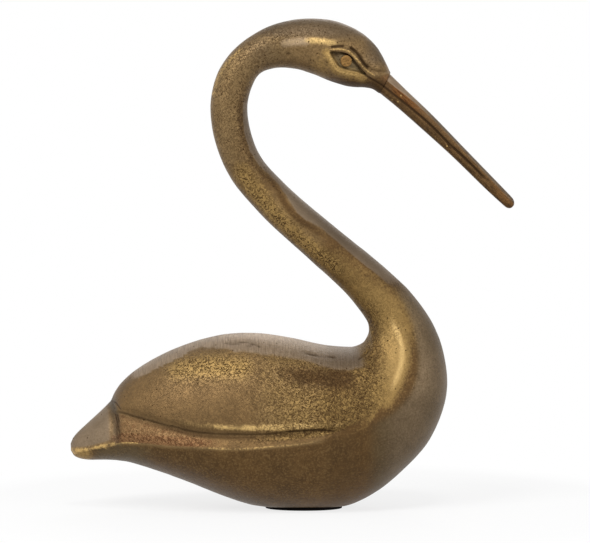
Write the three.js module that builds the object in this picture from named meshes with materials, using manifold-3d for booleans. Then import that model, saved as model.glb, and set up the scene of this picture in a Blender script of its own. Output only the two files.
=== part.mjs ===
// Brass bird figurine: a long-billed water bird, sitting, with its neck in an S.
// Two hollow cast halves meet on the bird's centre plane. A solid bill is held by its tang in a socket
// between the head halves, each eye is a turned stud in a drilled hole, and a felt pad covers the flat base.
// Millimetres. X runs from tail to bill, Z is up, and the bird's right side faces -Y.
// The origin is the middle of the pad's underside.

import * as THREE from 'three';
import { mergeVertices } from 'three/addons/utils/BufferGeometryUtils.js';
import Module from 'manifold-3d';

// Driving dimensions
const BODY_LENGTH = 155.7;        // from the tip of the tail to the front of the breast
const BODY_WIDTH = 62.8;
const CROWN_HEIGHT = 203;         // top of the head above the table
const BILL_LENGTH = 72;           // along its upper line, up to the rounded tip
const BILL_WIDTH = 6.6;           // next to its root

const WALL = 3.2;                 // thickness of the hollow castings
const PAD_THICKNESS = 1;
const PAD_INSET = 0.8;            // the pad's edge lies this far inside the edge of the flat
const VENT_RADIUS = 2.5;          // half of this vent is in each casting, under the pad
const BRAZE_GAP = 0.3;            // clearance between pieces that are fitted and brazed

const WING_LIP = 2.4;             // height over which the wing's lower edge turns in to the groove
const WING_GROOVE_DEPTH = 1.8;
const CHINE_RIDGE = 0.5;          // how far the edge between flank and hull stands out
const TAIL_LENGTH = 19.3;         // from the tip to the chiselled line at the wing tips
const TAIL_CREASE_DEPTH = 1.1;
const TAIL_CREASE_WIDTH = 1.5;
const TAIL_CREASE_HEIGHT = 34;    // height at which the tail's length is measured
const TAIL_CREASE_SLOPE = -0.12;  // the line leans back towards the top

const EYE_BELOW_CROWN = 16.9;
const EYE_BEHIND_BILL = 18.4;     // from the upper corner of the head's front
const EYE_DISC_RADIUS = 2.4;
const EYE_DISC_THICKNESS = 1.3;
const EYE_DISC_BEVEL = 0.3;
const EYE_SHANK_RADIUS = 1.1;
const EYE_SHANK_LENGTH = 4.5;
const EYE_RECESS_DEPTH = 1.5;
const EYE_RECESS_EDGE = 1.3;      // width of the slope round the recess
const EYE_RECESS_LENGTH = 17.2;   // from corner to corner of the almond

const TANG_RADIUS = 1.7;
const TANG_LENGTH = 9;
const FOREHEAD_STEP = 0.45;       // the head stands out over the root of the bill by this much
const MOUTH_GROOVE_DEPTH = 0.5;   // the line of the closed mouth, on each side of the bill

// Surface resolution
const ROUND_SEGMENTS = 20;        // sides of the tang, the bores and the vent
const BODY_ROW_PITCH = 3.6;       // distance between rows of points along the bird
const HEAD_ROW_PITCH = 1.5;
const NECK_ROW_PITCH = 4.6;
const WING_STEPS = 8;             // steps from the back line to the wing's lip
const FLANK_STEPS = 4;            // lip, groove, middle of the strip, chine
const HULL_STEPS = 6;             // steps from the chine to the edge of the flat
const KEEL_STEPS = 2;             // steps across the flat to the centre plane
const KEEL_TURN = 1.93;           // where the keel's narrow middle starts, see sectionPoint
const CAVITY_ROW_PITCH = 8;
const CAVITY_TURNS = [0, 0.25, 0.5, 0.75, 1, 1.25, 1.5, 1.75, 2];

// The bird in side view, as matched points of its back line and its belly line, from the tail to the bill.
// Each row is: back x, back z, belly x, belly z, half width, how far down the widest place is (share of the
// depth), squareness of the upper and lower quarters (2 is an ellipse), height of the strip between wing
// groove and chine (share of the depth), share of the wing groove's depth, and distance between rows.
// The drawing is scaled to the body's length and width and to the crown's height.
const STATIONS = [
  // Tail
  [-95.4, 26.8, -95.3, 23.9, 0.0, 0.64, 1.8, 2.0, 0.40, 0.0, 1.5],
  [-94.0, 30.2, -93.6, 21.0, 4.6, 0.69, 1.8, 2.0, 0.40, 0.0, BODY_ROW_PITCH],
  [-89.6, 34.4, -88.8, 20.1, 7.6, 0.67, 1.7, 2.0, 0.40, 0.0, BODY_ROW_PITCH],
  [-83.8, 39.6, -82.6, 20.2, 11.0, 0.645, 1.7, 2.0, 0.38, 0.0, 1.5],
  [-79.9, 43.4, -78.4, 20.1, 13.2, 0.66, 1.7, 2.0, 0.37, 0.0, 0.9],
  [-78.6, 44.8, -76.4, 20.0, 14.0, 0.665, 1.7, 2.0, 0.37, 0.1, 0.9],
  [-77.4, 47.7, -74.7, 19.8, 14.8, 0.68, 1.8, 2.0, 0.36, 0.4, 1.5],
  // Body
  [-74.3, 52.3, -71.4, 19.3, 16.4, 0.703, 1.9, 2.0, 0.34, 0.65, BODY_ROW_PITCH],
  [-68.1, 57.8, -65.6, 17.7, 19.2, 0.715, 2.0, 2.0, 0.28, 0.85, BODY_ROW_PITCH],
  [-58.9, 63.3, -57.3, 15.0, 22.8, 0.718, 2.1, 2.0, 0.195, 0.95, BODY_ROW_PITCH],
  [-45.6, 68.9, -45.2, 10.5, 26.6, 0.698, 2.1, 2.0, 0.12, 1.0, BODY_ROW_PITCH],
  [-32.4, 72.3, -32.4, 5.3, 29.4, 0.665, 2.1, 2.0, 0.095, 1.0, BODY_ROW_PITCH],
  [-19.1, 73.0, -19.1, 1.1, 31.0, 0.625, 2.1, 2.0, 0.080, 0.95, BODY_ROW_PITCH],
  [-4.1, 71.0, -4.1, -0.9, 31.4, 0.573, 2.1, 2.0, 0.067, 0.8, BODY_ROW_PITCH],
  [10.4, 67.9, 11.0, -0.6, 30.6, 0.522, 2.1, 2.0, 0.045, 0.5, BODY_ROW_PITCH],
  [20.3, 67.1, 22.2, 1.9, 28.8, 0.50, 2.2, 2.0, 0.06, 0.0, BODY_ROW_PITCH],
  // Breast, where the rows fan round the hollow behind the neck
  [22.0, 67.2, 33.2, 7.9, 27.3, 0.49, 2.25, 2.0, 0.09, 0.0, BODY_ROW_PITCH],
  [23.7, 67.7, 43.1, 16.9, 25.2, 0.50, 2.3, 2.0, 0.13, 0.0, BODY_ROW_PITCH],
  [26.8, 70.1, 60.3, 45.5, 18.6, 0.54, 2.3, 2.0, 0.2, 0.0, BODY_ROW_PITCH],
  [28.3, 74.7, 55.9, 74.7, 13.4, 0.54, 2.2, 2.0, 0.25, 0.0, BODY_ROW_PITCH],
  [27.4, 78.2, 47.3, 87.8, 11.2, 0.52, 2.1, 2.0, 0.27, 0.0, BODY_ROW_PITCH],
  // Neck
  [20.8, 87.1, 37.4, 97.7, 9.8, 0.5, 2.0, 2.0, 0.27, 0.0, NECK_ROW_PITCH],
  [3.3, 103.8, 15.1, 116.2, 8.6, 0.5, 2.0, 2.0, 0.27, 0.0, NECK_ROW_PITCH],
  [-18.1, 123.9, -6.6, 134.9, 8.0, 0.5, 2.0, 2.0, 0.27, 0.0, NECK_ROW_PITCH],
  [-29.8, 138.5, -16.8, 146.5, 7.7, 0.5, 2.0, 2.0, 0.27, 0.0, NECK_ROW_PITCH],
  [-36.1, 155.2, -21.4, 159.4, 7.6, 0.5, 2.0, 2.0, 0.27, 0.0, NECK_ROW_PITCH],
  [-37.4, 167.2, -22.0, 168.1, 7.6, 0.5, 2.0, 2.0, 0.27, 0.0, NECK_ROW_PITCH],
  [-34.9, 179.7, -20.1, 175.1, 7.7, 0.5, 2.0, 2.0, 0.27, 0.0, NECK_ROW_PITCH],
  [-27.8, 190.5, -17.0, 180.5, 7.9, 0.5, 2.0, 2.0, 0.27, 0.0, NECK_ROW_PITCH],
  [-15.8, 198.8, -11.2, 182.7, 8.1, 0.5, 2.0, 2.0, 0.27, 0.0, 3],
  [-0.4, 203.0, -1.2, 182.6, 8.8, 0.52, 2.0, 2.0, 0.27, 0.0, HEAD_ROW_PITCH],
  // Head
  [10.8, 202.8, 5.0, 180.4, 9.7, 0.56, 2.0, 2.0, 0.27, 0.0, HEAD_ROW_PITCH],
  [20.8, 199.7, 13.7, 176.8, 10.0, 0.60, 2.0, 2.0, 0.27, 0.0, HEAD_ROW_PITCH],
  [27.4, 195.5, 21.2, 174.9, 9.0, 0.62, 2.0, 2.0, 0.27, 0.0, HEAD_ROW_PITCH],
  [31.9, 190.8, 26.6, 174.7, 7.4, 0.60, 2.0, 2.0, 0.27, 0.0, HEAD_ROW_PITCH],
  [34.8, 185.7, 29.7, 174.0, 5.6, 0.56, 2.0, 2.0, 0.27, 0.0, HEAD_ROW_PITCH],
  [37.1, 180.7, 32.4, 172.3, 4.1, 0.52, 2.0, 2.0, 0.27, 0.0, HEAD_ROW_PITCH],
];
const CHINE_FADE = [15, 18];      // the chine fades out on the breast, between these stations
const CAVITY_FIRST = 8;           // the hollow starts at this station, inside the wing tips
const CAVITY_LAST = 30;           // and ends at this one, behind the head

// The bill beyond its root, measured from the upper corner of the head's front.
// Each row is: upper x, upper z, lower x, lower z, half width. It is scaled to the bill's length and width.
const BILL_STATIONS = [
  [6.9, -7.3, 2.3, -14.0, 3.3],
  [17.3, -17.2, 12.9, -23.3, 2.9],
  [30.1, -30.5, 26.0, -35.1, 2.6],
  [43.0, -43.8, 39.3, -48.1, 2.3],
  [50.4, -51.5, 47.3, -55.4, 2.1],
];
const BILL_ROWS_PER_STATION = 3;
const BILL_TURNS = [0, 0.3, 0.6, 0.85, 1, 1.15, 1.4, 1.7, 2];
const MOUTH_INDEX = 4;            // the turn of the mouth line
const BILL_TIP_LENGTH = 2.7;      // length of the rounded end
const BILL_TIP_STEPS = [0.4, 0.75, 0.95];
const MOUTH_FADE = [0.6, 0.95];   // the mouth line fades out between these shares of the bill's length

// The almond round the eye, seen from the side: x and z from the middle of the eye, for every corner of its
// outline, from the rear corner over the upper lid to the front corner and back below. It is scaled to the
// almond's length.
const EYE_RECESS_OUTLINE = [
  [-7.3, 4.0], [-0.3, 3.6], [2.2, 2.1], [3.8, -0.1], [7.4, -5.0],
  [3.7, -4.6], [-0.4, -4.0], [-3.5, -2.9], [-4.9, -0.6], [-6.3, 2.1],
];
const FRONT_CORNER_INDEX = 4;     // the almond's front corner in its outline

const wasm = await Module();
wasm.setup();
const { Manifold, Mesh } = wasm;

// Materials

const brass = () => new THREE.MeshStandardMaterial({ color: 0x7d6540, roughness: 0.5, metalness: 0.9 });
const billBrass = () => new THREE.MeshStandardMaterial({ color: 0x7a4f24, roughness: 0.5, metalness: 0.9 });
const eyeBrass = () => new THREE.MeshStandardMaterial({ color: 0xa0793f, roughness: 0.4, metalness: 0.9 });
const felt = () => new THREE.MeshStandardMaterial({ color: 0x17181a, roughness: 0.95, metalness: 0 });

// Solids and meshes

function geometryOf(points, triangles) {
  const geometry = new THREE.BufferGeometry();
  geometry.setAttribute('position', new THREE.Float32BufferAttribute(points.flat(), 3));
  geometry.setIndex(triangles.flat());
  return geometry;
}

function solidOf(geometry) {
  const bare = geometry.clone();
  bare.deleteAttribute('normal');
  bare.deleteAttribute('uv');
  const merged = mergeVertices(bare, 1e-4);
  return new Manifold(new Mesh({
    numProp: 3,
    vertProperties: Float32Array.from(merged.attributes.position.array),
    triVerts: Uint32Array.from(merged.index.array),
  }));
}

function geometryOfSolid(solid) {
  const mesh = solid.getMesh();
  const geometry = new THREE.BufferGeometry();
  geometry.setAttribute('position', new THREE.BufferAttribute(mesh.vertProperties, 3));
  geometry.setIndex(new THREE.BufferAttribute(mesh.triVerts, 1));
  geometry.computeVertexNormals();
  return geometry;
}

function namedMesh(name, geometry, material) {
  const mesh = new THREE.Mesh(geometry, material);
  mesh.name = name;
  return mesh;
}

// Two triangles for each cell between neighbouring rows of points. Rows are lists of point numbers.
function skinTriangles(rows) {
  const triangles = [];
  for (let i = 0; i + 1 < rows.length; i += 1) {
    for (let j = 0; j + 1 < rows[i].length; j += 1) {
      const [a, b] = [rows[i][j], rows[i][j + 1]];
      const [c, d] = [rows[i + 1][j + 1], rows[i + 1][j]];
      triangles.push([a, b, c], [a, c, d]);
    }
  }
  return triangles;
}

// Sections of the bird

// How much the drawing of the bird is enlarged along its length, across it and upwards
const bodyScale = {
  x: BODY_LENGTH / (Math.max(...STATIONS.map((row) => row[2])) - Math.min(...STATIONS.map((row) => row[0]))),
  y: BODY_WIDTH / 2 / Math.max(...STATIONS.map((row) => row[4])),
  z: CROWN_HEIGHT / Math.max(...STATIONS.map((row) => row[1])),
};

const SMALLEST_OUT = 0.05;        // no point off the centre plane comes nearer to it than this

// Distance between the middles of two rows of the drawing
function rowDistance(a, b) {
  return Math.hypot(a[0] + a[2] - b[0] - b[2], a[1] + a[3] - b[1] - b[3]) / 2;
}

// A cubic through four values, between the second and the third, with their distances
function smoothValue(values, spans, t) {
  const [before, from, to, after] = values;
  const slope = (to - from) / spans[1];
  const slopeIn = spans[0] ? (from - before) / spans[0] : slope;
  const slopeOut = spans[2] ? (after - to) / spans[2] : slope;
  const start = (slopeIn * spans[1] + slope * spans[0]) / (spans[0] + spans[1]) * spans[1];
  const end = (slope * spans[2] + slopeOut * spans[1]) / (spans[1] + spans[2]) * spans[1];
  return (2 * t ** 3 - 3 * t ** 2 + 1) * from + (t ** 3 - 2 * t ** 2 + t) * start
    + (3 * t ** 2 - 2 * t ** 3) * to + (t ** 3 - t ** 2) * end;
}

// The section at a place counted in stations, with smooth values between the stations
function stationAt(place) {
  const i = Math.min(Math.floor(place), STATIONS.length - 2);
  const rows = [i - 1, i, i + 1, i + 2].map((k) => STATIONS[Math.min(Math.max(k, 0), STATIONS.length - 1)]);
  const spans = [0, 1, 2].map((k) => rowDistance(rows[k], rows[k + 1]));
  const column = (k) => smoothValue(rows.map((row) => row[k]), spans, place - i);
  return {
    back: [column(0) * bodyScale.x, column(1) * bodyScale.z],
    belly: [column(2) * bodyScale.x, column(3) * bodyScale.z],
    halfWidth: Math.max(column(4), 0) * bodyScale.y,
    widest: column(5),
    upper: column(6),
    lower: column(7),
    strip: column(8),
    groove: Math.max(column(9), 0) * WING_GROOVE_DEPTH,
    pitch: STATIONS[i][10],
    place,
  };
}

// Point on a section: turn 0 is the back line, 1 the widest place and 2 the belly line
function sectionPoint(section, turn) {
  const upperHalf = turn < 1;
  const angle = (upperHalf ? turn : turn - 1) * Math.PI / 2;
  const power = 2 / (upperHalf ? section.upper : section.lower);
  const rise = upperHalf ? 1 - Math.cos(angle) ** power : Math.sin(angle) ** power;
  const out = upperHalf ? Math.sin(angle) ** power : Math.abs(Math.cos(angle)) ** power;
  const down = upperHalf ? section.widest * rise : section.widest + (1 - section.widest) * rise;
  const x = section.back[0] + (section.belly[0] - section.back[0]) * down;
  const z = section.back[1] + (section.belly[1] - section.back[1]) * down;
  return { x, z, out: turn === 0 || turn === 2 ? 0 : section.halfWidth * out, down };
}

// The turn at which the upper quarter has come down by this share of the depth
function upperTurn(section, down) {
  const left = Math.min(Math.max(1 - down / section.widest, 0), 1);
  return Math.acos(left ** (section.upper / 2)) * 2 / Math.PI;
}

function depthOf(section) {
  return Math.hypot(section.belly[0] - section.back[0], section.belly[1] - section.back[1]);
}

// The turns of one row of points, so that every row has a point on the lip, the groove and the chine
function ringTurns(section) {
  const grooveDown = section.widest - section.strip;
  const lipTurn = upperTurn(section, Math.max(grooveDown - WING_LIP / depthOf(section), grooveDown / 2));
  const grooveTurn = upperTurn(section, grooveDown);
  const edgeTurn = flatEdgeTurn(section);
  const turns = [];
  for (let j = 0; j < WING_STEPS; j += 1) turns.push(lipTurn * j / WING_STEPS);
  turns.push(lipTurn, grooveTurn, (grooveTurn + 1) / 2, 1);
  for (let j = 1; j <= HULL_STEPS; j += 1) turns.push(1 + (edgeTurn - 1) * j / HULL_STEPS);
  for (let j = 1; j <= KEEL_STEPS; j += 1) turns.push(edgeTurn + (2 - edgeTurn) * j / KEEL_STEPS);
  return turns;
}

const GROOVE_INDEX = WING_STEPS + 1;
const CHINE_INDEX = WING_STEPS + FLANK_STEPS - 1;

// Where the hull meets the flat base, or the start of the keel's narrow middle where it doesn't
function flatEdgeTurn(section) {
  if (section.belly[1] >= PAD_THICKNESS) return KEEL_TURN;
  const down = (section.back[1] - PAD_THICKNESS) / (section.back[1] - section.belly[1]);
  const share = Math.max((down - section.widest) / (1 - section.widest), 0);
  return Math.min(1 + Math.asin(share ** (section.lower / 2)) * 2 / Math.PI, KEEL_TURN);
}

// The base is cut off level with the top of the pad
function cutFlat(section, point) {
  if (point.z >= PAD_THICKNESS) return point;
  const down = (section.back[1] - PAD_THICKNESS) / (section.back[1] - section.belly[1]);
  const x = section.back[0] + (section.belly[0] - section.back[0]) * down;
  return { ...point, x, z: PAD_THICKNESS };
}

// The middle of the eye in side view
function eyePlace() {
  const front = headFront();
  return new THREE.Vector2(front.upper.x - EYE_BEHIND_BILL, CROWN_HEIGHT - EYE_BELOW_CROWN);
}

const eye = eyePlace();
const rearCorner = new THREE.Vector2(...EYE_RECESS_OUTLINE[0]);
const frontCorner = new THREE.Vector2(...EYE_RECESS_OUTLINE[FRONT_CORNER_INDEX]);
const recessScale = EYE_RECESS_LENGTH / rearCorner.distanceTo(frontCorner);
const recessOutline = EYE_RECESS_OUTLINE.map(([x, z]) => (
  new THREE.Vector2(x, z).multiplyScalar(recessScale).add(eye)
));

// Distance from a point to the almond's outline in side view, positive inside
function insideRecess(x, z) {
  const point = new THREE.Vector2(x, z);
  let distance = Infinity;
  let isInside = false;
  recessOutline.forEach((a, i) => {
    const b = recessOutline[(i + 1) % recessOutline.length];
    const side = b.clone().sub(a);
    const along = THREE.MathUtils.clamp(point.clone().sub(a).dot(side) / side.lengthSq(), 0, 1);
    distance = Math.min(distance, point.distanceTo(a.clone().addScaledVector(side, along)));
    const crosses = (a.y > z) !== (b.y > z) && x < a.x + (z - a.y) / side.y * side.x;
    if (crosses) isInside = !isInside;
  });
  return isInside ? distance : -distance;
}

// 1 on the floor of the recess round the eye, 0 outside, with a slope between
function recessShare(x, z) {
  return THREE.MathUtils.smoothstep(insideRecess(x, z), -EYE_RECESS_EDGE / 2, EYE_RECESS_EDGE / 2);
}

// 1 on the chiselled line between the tail and the wing tips, 0 away from it
function tailCreaseShare(x, z) {
  const tailTip = STATIONS[0][0] * bodyScale.x;
  const middle = tailTip + TAIL_LENGTH + TAIL_CREASE_SLOPE * (z - TAIL_CREASE_HEIGHT);
  return Math.exp(-(((x - middle) / TAIL_CREASE_WIDTH) ** 2));
}

const STRIP_HOLLOW = 0.45;        // the strip under the groove is hollow by this share of the groove
const CHINE_FULL_WIDTH = 10;      // the chine stands out fully where the bird is at least this wide each side

// How far the chine stands out: less where the bird is narrow, and nothing beyond the breast
function chineHeight(section) {
  const fade = 1 - THREE.MathUtils.smoothstep(section.place, ...CHINE_FADE);
  return CHINE_RIDGE * fade * Math.min(section.halfWidth / CHINE_FULL_WIDTH, 1);
}

// How far the surface lies inside the smooth section at one point of a row
function relief(section, j, point) {
  let depth = EYE_RECESS_DEPTH * recessShare(point.x, point.z);
  if (j === GROOVE_INDEX) depth += section.groove;
  if (j === GROOVE_INDEX + 1) depth += section.groove * STRIP_HOLLOW;
  if (j === CHINE_INDEX) depth -= chineHeight(section);
  if (j < CHINE_INDEX) {
    const towardsSide = point.out / Math.max(section.halfWidth, SMALLEST_OUT);
    depth += TAIL_CREASE_DEPTH * tailCreaseShare(point.x, point.z) * towardsSide;
  }
  return depth;
}


// Places of the rows, spaced by the pitch that each station asks for
function rowPlaces(first, last, pitchOf) {
  const places = [];
  for (let i = first; i < last; i += 1) {
    const [here, next] = [stationAt(i), stationAt(i + 1)];
    const middleStep = (k) => (next.back[k] + next.belly[k] - here.back[k] - here.belly[k]) / 2;
    const steps = Math.max(Math.round(Math.hypot(middleStep(0), middleStep(1)) / pitchOf(here)), 1);
    for (let s = 0; s < steps; s += 1) places.push(i + s / steps);
  }
  places.push(last);
  return places;
}

// Outer skin, one side: rows of points with y as the distance from the centre plane
function outerRows() {
  const places = rowPlaces(0, STATIONS.length - 1, (section) => section.pitch);
  return places.map((place) => {
    const section = stationAt(place);
    return ringTurns(section).map((turn, j, turns) => {
      const point = cutFlat(section, sectionPoint(section, turn));
      const onPlane = j === 0 || j === turns.length - 1 || place === 0;
      const out = onPlane ? 0 : Math.max(point.out - relief(section, j, point), SMALLEST_OUT);
      return [point.x, out, point.z];
    });
  });
}

// The hollow inside, one side: the same sections, smaller by the wall all round
function cavityRows() {
  const places = rowPlaces(CAVITY_FIRST, CAVITY_LAST, () => CAVITY_ROW_PITCH);
  return places.map((place, i) => {
    const section = stationAt(place);
    const depth = depthOf(section);
    const floorCut = Math.max(PAD_THICKNESS - section.belly[1], 0);
    const shrink = (from, to, by) => from.map((value, k) => value + (to[k] - value) * by / depth);
    const inner = {
      ...section,
      back: shrink(section.back, section.belly, WALL),
      belly: shrink(section.belly, section.back, WALL + floorCut),
      halfWidth: section.halfWidth - WALL - section.groove / 2,
    };
    const isEnd = i === 0 || i === places.length - 1;
    return CAVITY_TURNS.map((turn) => {
      const point = sectionPoint(inner, turn);
      return [point.x, isEnd ? 0 : point.out, point.z];
    });
  });
}

// Castings

// The flat joint face of a half: cells between the back line and the belly line, and a fan at the tail's edge
function jointFaceTriangles(rows) {
  const triangles = [];
  const last = rows[0].length - 1;
  for (let j = 0; j < last; j += 1) triangles.push([rows[1][0], rows[0][j + 1], rows[0][j]]);
  triangles.push([rows[1][0], rows[1][last], rows[0][last]]);
  for (let i = 1; i + 1 < rows.length; i += 1) {
    const [a, b] = [rows[i][0], rows[i + 1][0]];
    const [c, d] = [rows[i + 1][last], rows[i][last]];
    triangles.push([a, b, c], [a, c, d]);
  }
  return triangles;
}

// The hollow on both sides of the centre plane, as one closed body
function cavitySolid() {
  const rows = cavityRows();
  const points = [];
  const numbered = (side) => rows.map((row) => row.map(([x, y, z]) => points.push([x, side * y, z]) - 1));
  const right = skinTriangles(numbered(-1));
  const left = skinTriangles(numbered(1)).map(([a, b, c]) => [a, c, b]);
  return solidOf(geometryOf(points, [...right, ...left]));
}

// One half casting. side is -1 for the right half and 1 for the left.
function halfCasting(side) {
  const points = [];
  const rows = outerRows().map((row) => row.map(([x, y, z]) => points.push([x, side * y, z]) - 1));
  const front = rows[rows.length - 1];
  const triangles = [...skinTriangles(rows), ...jointFaceTriangles(rows)];
  for (let j = 1; j + 1 < front.length; j += 1) triangles.push([front[0], front[j], front[j + 1]]);
  const facing = side > 0 ? triangles.map(([a, b, c]) => [a, c, b]) : triangles;
  return solidOf(geometryOf(points, facing)).subtract(cavitySolid());
}

// Fitted pieces

// The front of the head: its upper and lower corner and the direction that it faces
function headFront() {
  const last = stationAt(STATIONS.length - 1);
  const upper = new THREE.Vector2(...last.back);
  const lower = new THREE.Vector2(...last.belly);
  const down = lower.clone().sub(upper).normalize();
  return { upper, lower, down, forward: new THREE.Vector2(-down.y, down.x), halfWidth: last.halfWidth };
}

// A round bar or bore in the centre plane, from a point of that plane along a direction
function roundBar(radius, length, start, direction) {
  const bar = new THREE.CylinderGeometry(radius, radius, length, ROUND_SEGMENTS);
  bar.translate(0, length / 2, 0);
  const turn = new THREE.Quaternion().setFromUnitVectors(
    new THREE.Vector3(0, 1, 0), new THREE.Vector3(direction.x, 0, direction.y));
  bar.applyQuaternion(turn);
  bar.translate(start.x, 0, start.y);
  return solidOf(bar);
}

// Tang or socket, by its clearance all round. Both start in front of the head and run back into it.
function tangBar(clearance) {
  const { upper, lower, forward } = headFront();
  const start = upper.clone().lerp(lower, 0.5).addScaledVector(forward, 1);
  return roundBar(TANG_RADIUS + clearance, TANG_LENGTH + 1 + clearance, start, forward.clone().negate());
}

function billSolid() {
  const { upper, lower, down, forward, halfWidth } = headFront();
  const rootUpper = upper.clone().addScaledVector(forward, BRAZE_GAP).addScaledVector(down, FOREHEAD_STEP);
  const rootLower = lower.clone().addScaledVector(forward, BRAZE_GAP);
  const drawnTip = BILL_STATIONS[BILL_STATIONS.length - 1];
  const longer = BILL_LENGTH / Math.hypot(drawnTip[0], drawnTip[1]);
  const wider = BILL_WIDTH / 2 / BILL_STATIONS[0][4];
  const stations = [
    [rootUpper.x, rootUpper.y, rootLower.x, rootLower.y, halfWidth - FOREHEAD_STEP / 2],
    ...BILL_STATIONS.map(([x, z, lowerX, lowerZ, out]) => [
      upper.x + x * longer, upper.y + z * longer,
      upper.x + lowerX * longer, upper.y + lowerZ * longer, out * wider,
    ]),
  ];
  const upperLine = new THREE.CatmullRomCurve3(stations.map((s) => new THREE.Vector3(s[0], s[4], s[1])));
  const lowerLine = new THREE.CatmullRomCurve3(stations.map((s) => new THREE.Vector3(s[2], s[4], s[3])));
  const steps = (stations.length - 1) * BILL_ROWS_PER_STATION;
  const rows = [];
  for (let i = 0; i <= steps; i += 1) rows.push(billRow(upperLine, lowerLine, i / steps, 0));
  for (const tip of BILL_TIP_STEPS) rows.push(billRow(upperLine, lowerLine, 1, tip));

  const points = rows.flat();
  const ring = rows[0].length;
  const numbers = rows.map((row, i) => [...row.keys(), 0].map((j) => i * ring + j));
  const triangles = skinTriangles(numbers);
  const lastRow = (rows.length - 1) * ring;
  for (let j = 1; j + 1 < ring; j += 1) {
    triangles.push([0, j + 1, j], [lastRow, lastRow + j, lastRow + j + 1]);
  }
  return solidOf(geometryOf(points, triangles)).add(tangBar(0));
}

// One closed ring of the bill. tip goes from 0 to 1 along the rounded end.
function billRow(upperLine, lowerLine, share, tip) {
  const upper = upperLine.getPoint(share);
  const lower = lowerLine.getPoint(share);
  const forward = upperLine.getTangent(1).add(lowerLine.getTangent(1)).normalize();
  const size = Math.sqrt(1 - tip * tip);
  const section = {
    back: [upper.x, upper.z], belly: [lower.x, lower.z],
    halfWidth: upper.y, widest: 0.5, upper: 2.2, lower: 2.2,
  };
  const middle = upper.clone().lerp(lower, 0.5);
  const groove = MOUTH_GROOVE_DEPTH * (1 - THREE.MathUtils.smoothstep(share, ...MOUTH_FADE));
  const side = (sign) => BILL_TURNS.map((turn, j) => {
    const point = sectionPoint(section, turn);
    const out = (point.out - (j === MOUTH_INDEX ? groove : 0)) * size;
    const x = middle.x + (point.x - middle.x) * size + forward.x * BILL_TIP_LENGTH * tip;
    const z = middle.z + (point.z - middle.z) * size + forward.z * BILL_TIP_LENGTH * tip;
    return [x, sign * out, z];
  });
  return [...side(-1), ...side(1).reverse().slice(1, -1)];
}

// How far the floor of the recess stands from the centre plane at the middle of the eye
function eyeSeat() {
  const distance = ([x, , z]) => Math.hypot(x - eye.x, z - eye.y);
  const nearer = (best, point) => (distance(point) < distance(best) ? point : best);
  const nearest = outerRows().flat().reduce(nearer);
  return nearest[1];
}

// Eye stud: shank and flat disc, turned round its own axis, which runs across the bird
function eyeStudGeometry(side) {
  const seat = eyeSeat();
  const face = seat + EYE_DISC_THICKNESS;
  const profile = [
    [0, seat - EYE_SHANK_LENGTH],
    [EYE_SHANK_RADIUS, seat - EYE_SHANK_LENGTH],
    [EYE_SHANK_RADIUS, seat],
    [EYE_DISC_RADIUS, seat],
    [EYE_DISC_RADIUS, face - EYE_DISC_BEVEL],
    [EYE_DISC_RADIUS - EYE_DISC_BEVEL, face],
    [0, face],
  ];
  const stud = new THREE.LatheGeometry(profile.map(([r, y]) => new THREE.Vector2(r, y)), 24);
  if (side < 0) stud.rotateX(Math.PI);
  stud.translate(eye.x, 0, eye.y);
  return stud;
}

// The drilled hole for the shank, with a spot face for the disc
function eyeBore(side) {
  const seat = eyeSeat();
  const hole = (radius, from, to) => {
    const boreRadius = radius + BRAZE_GAP;
    const bore = new THREE.CylinderGeometry(boreRadius, boreRadius, to - from, ROUND_SEGMENTS);
    bore.translate(eye.x, side * (from + to) / 2, eye.y);
    return solidOf(bore);
  };
  const outside = seat + EYE_DISC_THICKNESS * 2;
  const shankHole = hole(EYE_SHANK_RADIUS, seat - EYE_SHANK_LENGTH - BRAZE_GAP, outside);
  return shankHole.add(hole(EYE_DISC_RADIUS, seat - BRAZE_GAP, outside));
}

// The flat that the hull stands on: the middle of its length, and its half length and half width
function flatOfBase() {
  const hullEdge = outerRows().map((row) => row[row.length - 1 - KEEL_STEPS]);
  const edge = hullEdge.filter(([, , z]) => z === PAD_THICKNESS);
  const ends = [edge[0][0], edge[edge.length - 1][0]];
  return {
    x: (ends[0] + ends[1]) / 2,
    halfLength: (ends[1] - ends[0]) / 2,
    halfWidth: Math.max(...edge.map(([, out]) => out)),
  };
}

function padGeometry() {
  const flat = flatOfBase();
  const outline = new THREE.Shape();
  outline.absellipse(flat.x, 0, flat.halfLength - PAD_INSET, flat.halfWidth - PAD_INSET, 0, 2 * Math.PI);
  return new THREE.ExtrudeGeometry(outline, { depth: PAD_THICKNESS, bevelEnabled: false, curveSegments: 24 });
}

function ventBore() {
  const vent = new THREE.CylinderGeometry(VENT_RADIUS, VENT_RADIUS, WALL * 4, ROUND_SEGMENTS);
  vent.rotateX(Math.PI / 2);
  vent.translate(flatOfBase().x, 0, PAD_THICKNESS);
  return solidOf(vent);
}

// Assembly

const root = new THREE.Group();
for (const [side, name] of [[-1, 'right'], [1, 'left']]) {
  const half = halfCasting(side).subtract(tangBar(BRAZE_GAP)).subtract(ventBore()).subtract(eyeBore(side));
  root.add(namedMesh(`${name}_half`, geometryOfSolid(half), brass()));
  root.add(namedMesh(`${name}_eye_stud`, geometryOfSolid(solidOf(eyeStudGeometry(side))), eyeBrass()));
}
root.add(namedMesh('bill', geometryOfSolid(billSolid()), billBrass()));
root.add(namedMesh('base_pad', padGeometry(), felt()));

export default root;
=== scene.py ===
# %% [markdown]
# # A brass water bird
#
# The bird is a small table ornament: two hollow brass castings brazed together along its middle, a solid bill,
# two turned eye studs and a felt pad. The construction gives each piece its place and size. This lesson gives them
# their surface: smooth cast forms, carved lines, and old brass. Everything is in metres, with X from tail to bill
# and Z up. The bird's right side faces -Y, and so the camera.

# %% Load the construction
import math

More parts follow.
